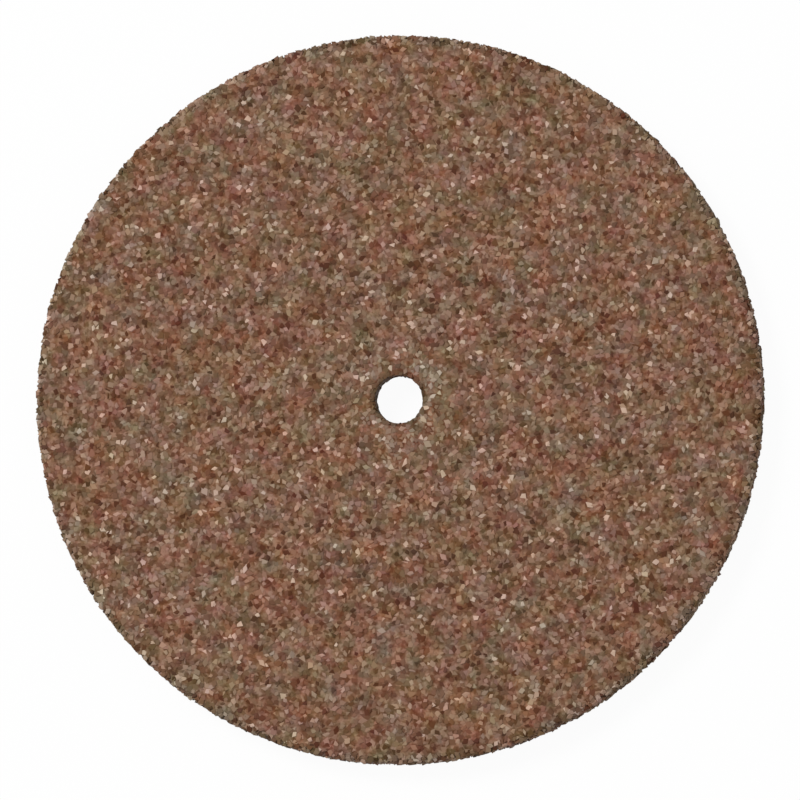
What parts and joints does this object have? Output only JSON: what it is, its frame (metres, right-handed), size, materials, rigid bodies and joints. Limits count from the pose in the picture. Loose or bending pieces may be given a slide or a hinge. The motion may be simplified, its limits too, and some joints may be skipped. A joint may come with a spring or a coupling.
{
  "type": "cut off wheel",
  "caption": "Thin flat round wheel of bonded brown abrasive grit with a plain centre bore, clamped on a rotary tool's mandrel to cut with its rim.",
  "frame": {"origin": "on the bore's axis, at the lower side face, on which the wheel lies", "axes": "+Z along the bore's axis, up out of the upper side face; X and Y lie in the lower face and are alike, because the wheel is round"},
  "size_m": [0.024, 0.024, 0.001],
  "materials": {
    "bonded_abrasive": "matte"
  },
  "bodies": {
    "root": {"cut_off_wheel": "bonded_abrasive"}
  },
  "joints": []
}
